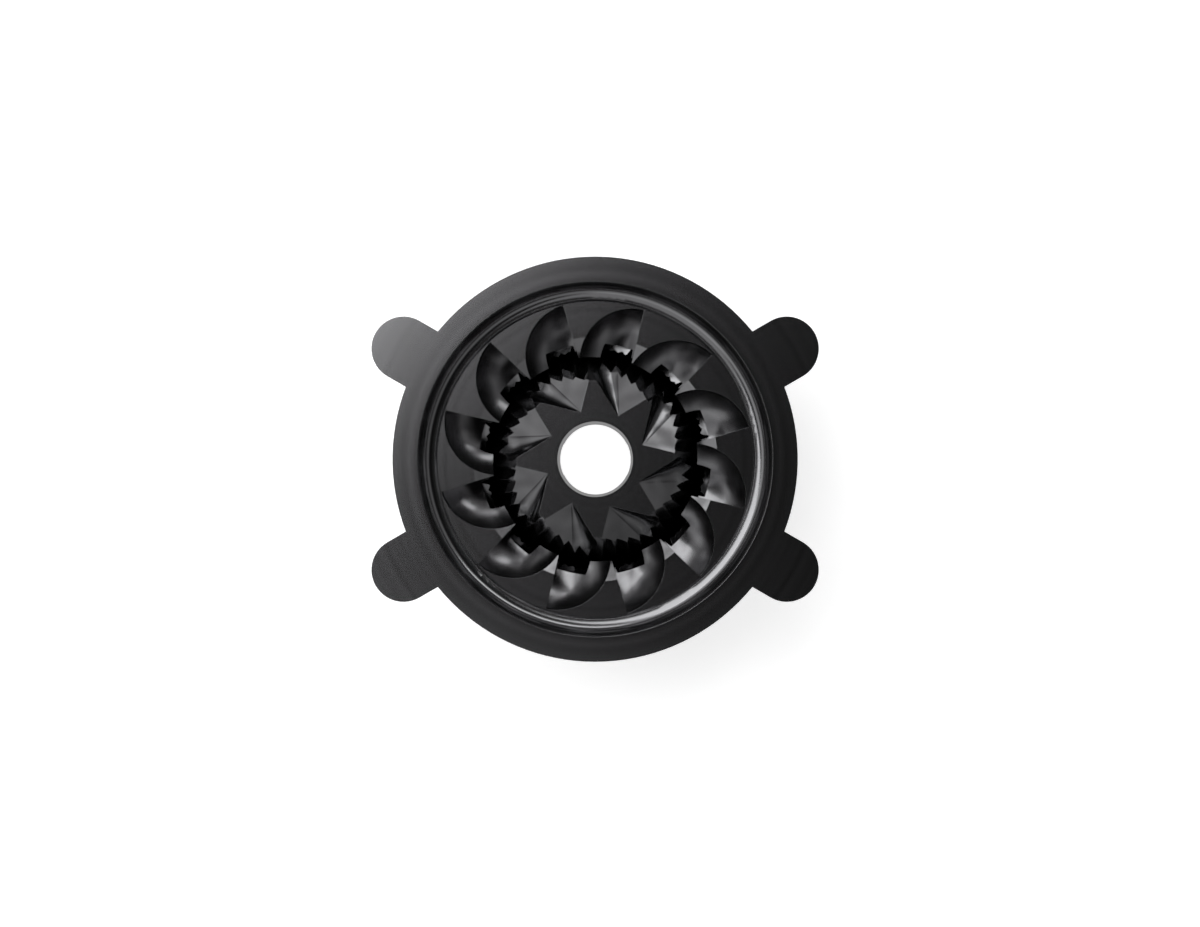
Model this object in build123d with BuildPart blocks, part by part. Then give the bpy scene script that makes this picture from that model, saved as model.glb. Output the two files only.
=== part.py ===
from build123d import *
from math import asin, atan, cos, radians, sin, sqrt, tan
import os

# Conical burr set of a coffee grinder: a carrier with four ears, the ring burr that is
# pressed into it from below, and the cone burr that turns inside the ring. Millimetres,
# +Z up, the drive axis on Z, ring and cone standing on Z = 0.

# Carrier
carrier_top = 25.5
flange_diameter = 48.0
flange_thickness = 3.0
ear_tip_diameter = 60.0
ear_width = 7.6
ear_angle = 30.0
barrel_diameter = 44.0
barrel_chamfer = 0.5
recess_diameter = 42.1
recess_depth = 3.0
recess_draft = 8.0
cove_radius = 1.6
seat_chamfer = 0.18

# Ring burr
ring_diameter = 38.0
ring_height = 22.0
press_clearance = 0.02
collar_diameter = 43.0
collar_height = 4.0
collar_chamfer = 0.4
land_bevel_diameter = 29.3
throat_diameter = 24.8
throat_height = 20.8
ring_exit_diameter = 32.8
ramp_diameter = 28.2
ramp_start_height = 16.6
ramp_slope = 18.0
ramp_clearance = 2.5
ring_tooth_top = 17.4
ring_tooth_count = 90
ring_tooth_depth = 0.3
ring_rise_share = 0.5
pocket_count = 12
pocket_radius = 6.3
pocket_depth = 4.9
pocket_floor_radius = 8.8
pocket_corner_angle = 11.8
pocket_corner_margin = 0.13
pocket_wall_lean = 4.8

# Cone burr
cone_height = 24.0
cone_top_diameter = 18.7
shoulder_diameter = 23.2
shoulder_height = 20.4
exit_gap = 0.3
bore_diameter = 9.0
coarse_tooth_count = 44
coarse_tooth_depth = 0.85
coarse_tooth_rim_depth = 0.02
coarse_rise_share = 0.78
coarse_tooth_lean = 1.6
fine_tooth_count = 88
fine_tooth_start = 15.5
fine_tooth_depth = 0.4
fine_rise_share = 0.5
flute_count = 8
flute_notch_radius = 5.82
flute_notch_angle = 17.25
flute_run_angle = 59.0
flute_corner_angle = 96.0
flute_slope = 31.0
flute_root_start = 0.3
flute_root_spread = 21.0
flute_root_overcut = 1.03
flute_length = 12.0
drive_slot_width = 4.0
drive_slot_length = 22.0
drive_slot_depth = 3.0

# Sizes that follow from those above
shelf_height = carrier_top - recess_depth
flange_seat_height = carrier_top - flange_thickness
cone_exit_diameter = ring_exit_diameter - 2 * exit_gap


def toothed_section(height, count, crest_diameter, root_diameter, rise_share, turn):
    """A flat toothed face at that height. Each tooth climbs from a root to a crest over
    rise_share of its pitch and falls back over the rest. turn is in degrees."""
    pitch = 360 / count
    corners = []
    for tooth in range(count):
        root_angle = radians(turn + tooth * pitch)
        crest_angle = radians(turn + (tooth + rise_share) * pitch)
        corners.append((root_diameter / 2 * cos(root_angle), root_diameter / 2 * sin(root_angle)))
        corners.append((crest_diameter / 2 * cos(crest_angle), crest_diameter / 2 * sin(crest_angle)))
    with BuildSketch(Plane.XY.offset(height)) as section:
        with BuildLine():
            Polyline(*corners, close=True)
        make_face()
    return section.sketch


# Carrier: a turned sleeve under a flange with four ears. The recess in its top has drafted
# walls and a cove that runs out on the shelf around the ring burr.
recess_radius = recess_diameter / 2
seat_radius = ring_diameter / 2
draft = radians(recess_draft)
cove_top_height = shelf_height + cove_radius * (1 - sin(draft))
cove_top_radius = recess_radius - (carrier_top - cove_top_height) * tan(draft)
cove_foot_radius = cove_top_radius - cove_radius * cos(draft)
ear_centre_radius = ear_tip_diameter / 2 - ear_width / 2
ear_root_radius = (flange_diameter / 2 + recess_radius) / 2

with BuildPart() as burr_carrier:
    with BuildSketch(Plane.XZ):
        with BuildLine():
            Polyline(
                (cove_top_radius, cove_top_height),
                (recess_radius, carrier_top),
                (flange_diameter / 2, carrier_top),
                (flange_diameter / 2, flange_seat_height),
                (barrel_diameter / 2, flange_seat_height),
                (barrel_diameter / 2, collar_height + barrel_chamfer),
                (barrel_diameter / 2 - barrel_chamfer, collar_height),
                (seat_radius, collar_height),
                (seat_radius, shelf_height - seat_chamfer),
                (seat_radius + seat_chamfer, shelf_height),
                (cove_foot_radius, shelf_height),
            )
            RadiusArc((cove_foot_radius, shelf_height), (cove_top_radius, cove_top_height), -cove_radius)
        make_face()
    revolve(axis=Axis.Z)
    with BuildSketch(Plane.XY.offset(flange_seat_height)):
        for side_angle in (ear_angle, -ear_angle):
            with PolarLocations(ear_centre_radius, 2, start_angle=side_angle):
                Circle(ear_width / 2)
                Rectangle(ear_centre_radius - ear_root_radius, ear_width, align=(Align.MAX, Align.CENTER))
    extrude(amount=flange_thickness)

# Ring burr, step 1: the toothed part of its bore, which widens down to the exit
ring_flare = (ring_exit_diameter - throat_diameter) / throat_height
ring_sections = []
for height in (ring_tooth_top, 0):
    crest_diameter = ring_exit_diameter - ring_flare * height
    root_diameter = crest_diameter + 2 * ring_tooth_depth
    ring_sections.append(
        toothed_section(height, ring_tooth_count, crest_diameter, root_diameter, ring_rise_share, 0)
    )

with BuildPart() as ring_teeth:
    loft(ring_sections, ruled=True)

# Ring burr, step 2: one feed pocket, half of a dish that is closed by an upright wall
corner_radius = ring_diameter / 2 - press_clearance - pocket_corner_margin
wall_angle = pocket_corner_angle + pocket_wall_lean
wall_way = Vector(1, 0).rotate(Axis.Z, wall_angle)
side_way = wall_way.rotate(Axis.Z, 90)
pocket_corner = Vector(corner_radius, 0).rotate(Axis.Z, pocket_corner_angle)
pocket_centre = pocket_corner - wall_way * pocket_radius + Vector(0, 0, ring_height)
pocket_plane = Plane(pocket_centre, x_dir=wall_way, z_dir=-side_way)
pocket_lift = carrier_top - ring_height
floor_rise = pocket_floor_radius - sqrt(pocket_floor_radius**2 - pocket_radius**2)

with BuildPart() as pocket:
    with BuildSketch(pocket_plane):
        with BuildLine():
            RadiusArc((0, -pocket_depth), (pocket_radius, floor_rise - pocket_depth), -pocket_floor_radius)
            Polyline(
                (pocket_radius, floor_rise - pocket_depth),
                (pocket_radius, pocket_lift),
                (0, pocket_lift),
                (0, -pocket_depth),
            )
        make_face()
    revolve(axis=Axis(pocket_centre, (0, 0, 1)), revolution_arc=180)

# Ring burr, step 3: the ramp under a pocket, which falls away from the foot of the wall and
# leads the broken beans in to the teeth. One turned wall bounds all the ramps.
ramp_start = pocket_centre + Vector(0, 0, ramp_start_height - ring_height)
ramp_up = Vector(0, 0, cos(radians(ramp_slope))) + side_way * sin(radians(ramp_slope))
ramp_length = ramp_diameter * sin(radians(180 / pocket_count))

with BuildPart() as ramp:
    with BuildSketch(Plane(ramp_start, x_dir=wall_way, z_dir=ramp_up)):
        Rectangle(2 * pocket_radius, ramp_length, align=(Align.CENTER, Align.MIN))
    extrude(amount=ramp_clearance)

with BuildPart() as ramps:
    with PolarLocations(0, pocket_count):
        add(ramp.part)
    Cylinder(ramp_diameter / 2, 2 * ring_height, mode=Mode.INTERSECT)

# Ring burr, step 4: the turned blank, less the teeth, the pockets and their ramps
ring_radius = ring_diameter / 2 - press_clearance

with BuildPart() as ring_burr:
    with BuildSketch(Plane.XZ):
        with BuildLine():
            Polyline(
                (throat_diameter / 2, throat_height),
                (land_bevel_diameter / 2, ring_height),
                (ring_radius, ring_height),
                (ring_radius, collar_height),
                (collar_diameter / 2, collar_height),
                (collar_diameter / 2, collar_chamfer),
                (collar_diameter / 2 - collar_chamfer, 0),
                (throat_diameter / 2, 0),
                close=True,
            )
        make_face()
    revolve(axis=Axis.Z)
    add(ring_teeth.part, mode=Mode.SUBTRACT)
    with PolarLocations(0, pocket_count):
        add(pocket.part, mode=Mode.SUBTRACT)
    add(ramps.part, mode=Mode.SUBTRACT)

# Cone burr, step 1: one flute, a ramp that falls away from its notch in the top face along
# an upright wall. A cone rounds out their corner on the way down: the block is cut back to
# the plane through the lines where the cone touches wall and floor, and the cone is added, a
# hair oversize so that the faces cross cleanly.
run_angle = flute_notch_angle + flute_run_angle
run_way = Vector(1, 0).rotate(Axis.Z, run_angle)
fall_way = run_way * cos(radians(flute_slope)) - Vector(0, 0, sin(radians(flute_slope)))
inward_way = run_way.rotate(Axis.Z, 90)
notch = Vector(flute_notch_radius, 0).rotate(Axis.Z, flute_notch_angle) + Vector(0, 0, cone_height)
flute_plane = Plane(notch, x_dir=inward_way, z_dir=fall_way)
flute_width = cone_top_diameter / 2
floor_tilt = atan(sin(radians(flute_slope)) * tan(radians(flute_corner_angle - 90)))
half_corner = (radians(90) + floor_tilt) / 2
corner_way = flute_plane.y_dir * cos(half_corner) - inward_way * sin(half_corner)
root_spread = radians(flute_root_spread)
root_tilt = asin(sin(root_spread) / sin(half_corner))
root_way = fall_way * cos(root_tilt) + corner_way * sin(root_tilt)
root_apex = notch - fall_way * flute_root_start
root_radius = flute_length * tan(root_spread) * flute_root_overcut
touch_tilt = atan(tan(root_tilt) * cos(half_corner) ** 2)
touch_way = fall_way * cos(touch_tilt) + corner_way * sin(touch_tilt)
touch_side = fall_way * sin(touch_tilt) - corner_way * cos(touch_tilt)

with BuildPart() as flute:
    with BuildSketch(flute_plane):
        with BuildLine():
            Polyline(
                (0, 0),
                (0, flute_length),
                (-flute_width, flute_length),
                (-flute_width, -flute_width * tan(floor_tilt)),
                close=True,
            )
        make_face()
    extrude(amount=flute_length)
    with BuildSketch(Plane(root_apex, x_dir=touch_way, z_dir=touch_side)):
        Rectangle(2 * flute_length, 2 * flute_length, align=(Align.MIN, Align.CENTER))
    extrude(amount=flute_length, mode=Mode.SUBTRACT)
    with Locations(Plane(root_apex, x_dir=touch_way.cross(touch_side), z_dir=root_way)):
        Cone(0, root_radius, flute_length, align=(Align.CENTER, Align.CENTER, Align.MIN))

# Cone burr, step 2: the toothed cone, less the flutes, the bore and the slot for the drive
# pin. The fine teeth begin at the roots of the coarse ones.
skirt_flare = (cone_exit_diameter - shoulder_diameter) / shoulder_height
coarse_end_diameter = cone_exit_diameter - skirt_flare * fine_tooth_start
fine_start_diameter = coarse_end_diameter - 2 * coarse_tooth_depth
coarse_levels = (
    (cone_height, cone_top_diameter, coarse_tooth_rim_depth),
    (shoulder_height, shoulder_diameter, coarse_tooth_depth),
    (fine_tooth_start, coarse_end_diameter, coarse_tooth_depth),
)
coarse_sections = []
for height, diameter, depth in coarse_levels:
    lean = coarse_tooth_lean * (cone_height - height)
    coarse_sections.append(
        toothed_section(height, coarse_tooth_count, diameter, diameter - 2 * depth, coarse_rise_share, lean)
    )
fine_sections = []
for height, diameter in ((fine_tooth_start, fine_start_diameter), (0, cone_exit_diameter)):
    root_diameter = diameter - 2 * fine_tooth_depth
    fine_sections.append(
        toothed_section(height, fine_tooth_count, diameter, root_diameter, fine_rise_share, 0)
    )

with BuildPart() as cone_burr:
    loft(coarse_sections, ruled=True)
    loft(fine_sections, ruled=True)
    with PolarLocations(0, flute_count):
        add(flute.part, mode=Mode.SUBTRACT)
    with BuildSketch():
        Circle(bore_diameter / 2)
    extrude(amount=cone_height, mode=Mode.SUBTRACT)
    with BuildSketch():
        SlotOverall(drive_slot_length, drive_slot_width)
    extrude(amount=drive_slot_depth, mode=Mode.SUBTRACT)

os.makedirs("parts", exist_ok=True)
burr_carrier.part.label = "burr_carrier"
export_step(burr_carrier.part, "parts/burr_carrier.step")
ring_burr.part.label = "ring_burr"
export_step(ring_burr.part, "parts/ring_burr.step")
cone_burr.part.label = "cone_burr"
export_step(cone_burr.part, "parts/cone_burr.step")
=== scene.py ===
from math import cos, pi, radians, sin

import bpy
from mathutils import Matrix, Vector


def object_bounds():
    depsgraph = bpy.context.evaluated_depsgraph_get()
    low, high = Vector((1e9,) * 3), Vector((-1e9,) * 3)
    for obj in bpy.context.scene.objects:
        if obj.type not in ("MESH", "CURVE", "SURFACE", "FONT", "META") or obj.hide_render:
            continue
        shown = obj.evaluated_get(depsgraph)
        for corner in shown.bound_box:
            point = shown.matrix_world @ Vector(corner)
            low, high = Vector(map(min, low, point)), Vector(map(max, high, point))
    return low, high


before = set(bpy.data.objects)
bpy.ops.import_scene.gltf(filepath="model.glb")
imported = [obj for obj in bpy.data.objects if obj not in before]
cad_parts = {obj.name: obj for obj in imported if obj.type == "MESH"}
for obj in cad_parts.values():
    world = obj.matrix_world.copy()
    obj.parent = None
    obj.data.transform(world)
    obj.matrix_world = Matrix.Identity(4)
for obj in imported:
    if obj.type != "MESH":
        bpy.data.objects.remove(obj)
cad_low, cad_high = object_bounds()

# Burr carrier: the flanged sleeve with four ears that holds the ring burr and seats on the
# grinder's housing. It is turned from steel, its ears are milled, and it is coated black.
MM = 0.001


def linear(hex_colour):
    """An sRGB hex colour as linear RGBA. Each channel c becomes ((c + 0.055) / 1.055) ** 2.4, and a
    channel near black becomes c / 12.92."""
    channels = [int(hex_colour[i : i + 2], 16) / 255 for i in (1, 3, 5)]
    return [c / 12.92 if c < 0.04045 else ((c + 0.055) / 1.055) ** 2.4 for c in channels] + [1]


def add_node(tree, kind, inputs=(), **settings):
    """A new node of that kind. inputs gives each named socket its value, or the output that is
    linked to it, and settings gives the node's own properties."""
    node = tree.nodes.new(kind)
    for name, value in settings.items():
        setattr(node, name, value)
    for socket, value in dict(inputs).items():
        if isinstance(value, bpy.types.NodeSocket):
            tree.links.new(value, node.inputs[socket])
        else:
            node.inputs[socket].default_value = value
    return node


def black_coated_steel(
    name, dark, light, roughness, edge_radius, milled_height=0, milled_radius=0, waviness=0
):
    """Black vapour-deposited coating on machined steel: a dark mirror with a slight blur that varies
    from ring to ring of the turning, and edges softened by edge_radius. Faces below milled_height and
    within milled_radius of the axis also keep the waves of their milling, as deep as waviness."""
    patch_size = 6.0 * MM
    # Turned rings are about 0.1 mm apart, which is too fine to show, so they are drawn coarser
    ring_spacing = 0.8 * MM
    roughness_change = 0.015
    wave_size = 2.2 * MM
    ground_margin = 0.3 * MM
    edge_samples = 6
    material = bpy.data.materials.new(name)
    material.use_nodes = True
    tree = material.node_tree
    place = add_node(tree, "ShaderNodeTexCoord").outputs["Object"]
    patches = add_node(
        tree, "ShaderNodeTexNoise", {"Vector": place, "Scale": 1 / patch_size, "Detail": 3}
    )
    colour = add_node(
        tree,
        "ShaderNodeMix",
        {"Factor": patches.outputs["Fac"], "A": linear(dark), "B": linear(light)},
        data_type="RGBA",
    )
    across = add_node(tree, "ShaderNodeVectorMath", {0: place, 1: (1, 1, 0)}, operation="MULTIPLY")
    radius = add_node(tree, "ShaderNodeVectorMath", {0: across.outputs["Vector"]}, operation="LENGTH")
    rings = add_node(
        tree,
        "ShaderNodeTexNoise",
        {"W": radius.outputs["Value"], "Scale": 1 / ring_spacing, "Detail": 0},
        noise_dimensions="1D",
    )
    blur = add_node(
        tree,
        "ShaderNodeMapRange",
        {
            "Value": rings.outputs["Fac"],
            "To Min": roughness - roughness_change,
            "To Max": roughness + roughness_change,
        },
    )
    height = add_node(tree, "ShaderNodeSeparateXYZ", {"Vector": place})
    below = add_node(
        tree,
        "ShaderNodeMapRange",
        {
            "Value": height.outputs["Z"],
            "From Min": milled_height - ground_margin,
            "From Max": milled_height,
            "To Min": 1,
            "To Max": 0,
        },
    )
    inside = add_node(
        tree, "ShaderNodeMath", {0: radius.outputs["Value"], 1: milled_radius}, operation="LESS_THAN"
    )
    milled = add_node(
        tree, "ShaderNodeMath", {0: below.outputs["Result"], 1: inside.outputs[0]}, operation="MULTIPLY"
    )
    waves = add_node(tree, "ShaderNodeTexNoise", {"Vector": place, "Scale": 1 / wave_size, "Detail": 0})
    edges = add_node(tree, "ShaderNodeBevel", {"Radius": edge_radius}, samples=edge_samples)
    surface = add_node(
        tree,
        "ShaderNodeBump",
        {
            "Height": waves.outputs["Fac"],
            "Normal": edges.outputs["Normal"],
            "Strength": milled.outputs[0],
            "Distance": waviness,
        },
    )
    shader = tree.nodes["Principled BSDF"]
    shader.inputs["Metallic"].default_value = 1
    tree.links.new(colour.outputs["Result"], shader.inputs["Base Color"])
    tree.links.new(blur.outputs["Result"], shader.inputs["Roughness"])
    tree.links.new(surface.outputs["Normal"], shader.inputs["Normal"])
    return material


def coat(node_name, material):
    """Give that CAD node this material in place of its plain one."""
    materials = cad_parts[node_name].data.materials
    materials.clear()
    materials.append(material)


carrier_steel = black_coated_steel(
    "black_coated_turned_steel", dark="#69696a", light="#6f6f71", roughness=0.178, edge_radius=0.06 * MM
)
coat("burr_carrier", carrier_steel)

# Ring burr: the fixed burr, pressed into the carrier from below. It is turned from tool steel, its
# twelve feed pockets and its teeth are milled, its top is ground flat, and it is coated black.
ring_height = 22.0 * MM
pocket_reach = 18.9 * MM
ring_steel = black_coated_steel(
    "black_coated_milled_steel",
    dark="#676768",
    light="#6f6f71",
    roughness=0.18,
    edge_radius=0.03 * MM,
    milled_height=ring_height,
    milled_radius=pocket_reach,
    waviness=0.09 * MM,
)
coat("ring_burr", ring_steel)

# Cone burr: the turning burr on the drive shaft, with eight flutes that pull the beans down to its
# teeth. It is the same coated tool steel, milled more finely than the ring, with a ground top.
cone_height = 24.0 * MM
skirt_reach = 16.2 * MM
cone_steel = black_coated_steel(
    "black_coated_ground_steel",
    dark="#676768",
    light="#6f6f71",
    roughness=0.18,
    edge_radius=0.03 * MM,
    milled_height=cone_height,
    milled_radius=skirt_reach,
    waviness=0.07 * MM,
)
coat("cone_burr", cone_steel)

# Floor: the plain white table that the part stands on. To the camera it glows less near the part,
# so that the shadow stays. In the metal it shows a painted shadow under the part, but for a grey
# painted pool of light below the bore.
floor_half_width = 3.0
floor_drop = 0.02 * MM
bore_light_pool = 5.0 * MM
bore_light_pool_edge = 0.3 * MM
painted_shadow_edge = 21.0 * MM
painted_shadow_end = 30.0 * MM
glow_start = 40.0 * MM
glow_end = 120.0 * MM
glow_near_part = 0.58
corners = [(-1, -1), (1, -1), (1, 1), (-1, 1)]
floor_mesh = bpy.data.meshes.new("floor")
floor_mesh.from_pydata(
    [(x * floor_half_width, y * floor_half_width, -floor_drop) for x, y in corners], [], [(0, 1, 2, 3)]
)
floor = bpy.data.objects.new("floor", floor_mesh)
bpy.context.scene.collection.objects.link(floor)
floor_paint = bpy.data.materials.new("white_floor")
floor_paint.use_nodes = True
tree = floor_paint.node_tree
place = add_node(tree, "ShaderNodeTexCoord").outputs["Object"]
radius = add_node(tree, "ShaderNodeVectorMath", {0: place}, operation="LENGTH")
# Painted shadow and painted light for mirror rays: grey painted light below the bore, black painted
# shadow under the rest of the part, white beyond it
reach = add_node(tree, "ShaderNodeMapRange", {"Value": radius.outputs["Value"], "From Max": painted_shadow_end})
painted_shadow = add_node(tree, "ShaderNodeValToRGB", {"Fac": reach.outputs["Result"]})
painted_shadow_stops = painted_shadow.color_ramp.elements
painted_shadow_stops[0].position = bore_light_pool / painted_shadow_end
painted_shadow_stops[0].color = linear("#a8a8a8")
painted_shadow_stops.new((bore_light_pool + bore_light_pool_edge) / painted_shadow_end).color = linear("#000000")
painted_shadow_stops.new(painted_shadow_edge / painted_shadow_end).color = linear("#000000")
painted_shadow_stops[3].color = linear("#ffffff")
glow_outside = add_node(
    tree,
    "ShaderNodeMapRange",
    {
        "Value": radius.outputs["Value"],
        "From Min": glow_start,
        "From Max": glow_end,
        "To Min": glow_near_part,
    },
)
# Painted light: the floor below the bore glows fully to the camera, as if lit through the bore
painted_bore_light = add_node(
    tree, "ShaderNodeMath", {0: radius.outputs["Value"], 1: bore_light_pool}, operation="LESS_THAN"
)
glow = add_node(
    tree,
    "ShaderNodeMath",
    {0: glow_outside.outputs["Result"], 1: painted_bore_light.outputs[0]},
    operation="MAXIMUM",
)
ray = add_node(tree, "ShaderNodeLightPath")
to_camera = add_node(
    tree, "ShaderNodeMath", {0: ray.outputs["Is Camera Ray"], 1: glow.outputs[0]}, operation="MULTIPLY"
)
mirror_ray = add_node(
    tree,
    "ShaderNodeMath",
    {0: ray.outputs["Is Glossy Ray"], 1: ray.outputs["Is Transmission Ray"]},
    operation="MAXIMUM",
)
# The metal sees this painted shadow and painted pool of light in place of the lit floor
to_metal = add_node(
    tree, "ShaderNodeMath", {0: mirror_ray.outputs[0], 1: painted_shadow.outputs["Color"]}, operation="MULTIPLY"
)
seen = add_node(
    tree, "ShaderNodeMath", {0: to_camera.outputs[0], 1: to_metal.outputs[0]}, operation="MAXIMUM"
)
paint = add_node(
    tree,
    "ShaderNodeMix",
    {"Factor": mirror_ray.outputs[0], "A": linear("#e6e6e6"), "B": linear("#000000")},
    data_type="RGBA",
)
floor_shader = tree.nodes["Principled BSDF"]
floor_shader.inputs["Roughness"].default_value = 0.9
floor_shader.inputs["Specular IOR Level"].default_value = 0
floor_shader.inputs["Emission Color"].default_value = linear("#ffffff")
tree.links.new(paint.outputs["Result"], floor_shader.inputs["Base Color"])
tree.links.new(seen.outputs[0], floor_shader.inputs["Emission Strength"])
floor_mesh.materials.append(floor_paint)

# Studio: a low white backdrop all round, and a dark room above it with a band of wall that the
# flutes reflect, brightest on the left. A large softbox stands high on the upper left, a strip
# lamp low behind the part on its right, and a dim softbox high in front of it.
room_colour = "#181818"
wall_colour = "#ffffff"
bright_side = radians(170)
bright_side_share = 1.4
dark_side_share = 0.35
full_share_from = 0.8

# These heights are sines of the elevation, which is what the world's Generated Z gives
backdrop_top = 0.1
backdrop_end = 0.16
wall_start = 0.24
wall_full_from = 0.55
wall_full_to = 0.62
wall_end = 0.76
world = bpy.data.worlds.new("studio")
bpy.context.scene.world = world
world.use_nodes = True
tree = world.node_tree
direction = add_node(tree, "ShaderNodeTexCoord").outputs["Generated"]
height = add_node(tree, "ShaderNodeSeparateXYZ", {"Vector": direction})
walls = add_node(tree, "ShaderNodeValToRGB", {"Fac": height.outputs["Z"]})
wall_stops = walls.color_ramp.elements
wall_stops[0].position = wall_start
wall_stops[0].color = linear(room_colour)
wall_stops.new(wall_full_from).color = linear(wall_colour)
wall_stops.new(wall_full_to).color = linear(wall_colour)
wall_stops[3].position = wall_end
wall_stops[3].color = linear(room_colour)
side = add_node(
    tree,
    "ShaderNodeVectorMath",
    {0: direction, 1: (cos(bright_side), sin(bright_side), 0)},
    operation="DOT_PRODUCT",
)
share = add_node(
    tree,
    "ShaderNodeMapRange",
    {
        "Value": side.outputs["Value"],
        "From Min": -1,
        "From Max": full_share_from,
        "To Min": dark_side_share,
        "To Max": bright_side_share,
    },
)
room = add_node(
    tree,
    "ShaderNodeVectorMath",
    {0: walls.outputs["Color"], "Scale": share.outputs["Result"]},
    operation="SCALE",
)
low = add_node(
    tree,
    "ShaderNodeMapRange",
    {
        "Value": height.outputs["Z"],
        "From Min": backdrop_top,
        "From Max": backdrop_end,
        "To Min": 1,
        "To Max": 0,
    },
)
backdrop = add_node(
    tree,
    "ShaderNodeMix",
    {"Factor": low.outputs["Result"], "A": room.outputs["Vector"], "B": linear("#ffffff")},
    data_type="RGBA",
)
tree.links.new(backdrop.outputs["Result"], tree.nodes["Background"].inputs["Color"])

lamp_target = Vector((0, 0, 20 * MM))
softbox_distance = 0.6


def add_softbox(name, azimuth, elevation, width, height, radiance):
    """A rectangular lamp that faces the part from that direction. Its power is its radiance times pi
    times its area."""
    lamp = bpy.data.lights.new(name, "AREA")
    lamp.shape = "RECTANGLE"
    lamp.size = width
    lamp.size_y = height
    lamp.energy = radiance * pi * width * height
    around = radians(azimuth)
    up = radians(elevation)
    outward = Vector((cos(around) * cos(up), sin(around) * cos(up), sin(up)))
    softbox = bpy.data.objects.new(name, lamp)
    softbox.location = lamp_target + outward * softbox_distance
    softbox.rotation_euler = outward.to_track_quat("Z", "Y").to_euler()
    bpy.context.scene.collection.objects.link(softbox)


add_softbox("key_softbox", azimuth=137, elevation=61, width=0.46, height=0.43, radiance=3.85)
add_softbox("back_strip", azimuth=69, elevation=33, width=0.60, height=0.10, radiance=3.2)
add_softbox("front_softbox", azimuth=245, elevation=61, width=0.40, height=0.42, radiance=0.85)

# Camera: straight above the part, a little off its axis, at the distance that the photograph's
# perspective gives.
camera_height = 280 * MM
camera_x = 0.58 * MM
camera_y = -0.51 * MM
pixel_on_flange = 0.1184 * MM
photo_width = 1200
camera = bpy.data.objects.new("camera", bpy.data.cameras.new("camera"))
camera.location = (camera_x, camera_y, cad_high.z + camera_height)
camera.data.sensor_width = 36
camera.data.lens = camera.data.sensor_width * camera_height / (photo_width * pixel_on_flange)
camera.data.clip_start = 0.01
bpy.context.scene.collection.objects.link(camera)
bpy.context.scene.camera = camera
bpy.context.scene.view_settings.view_transform = "Standard"
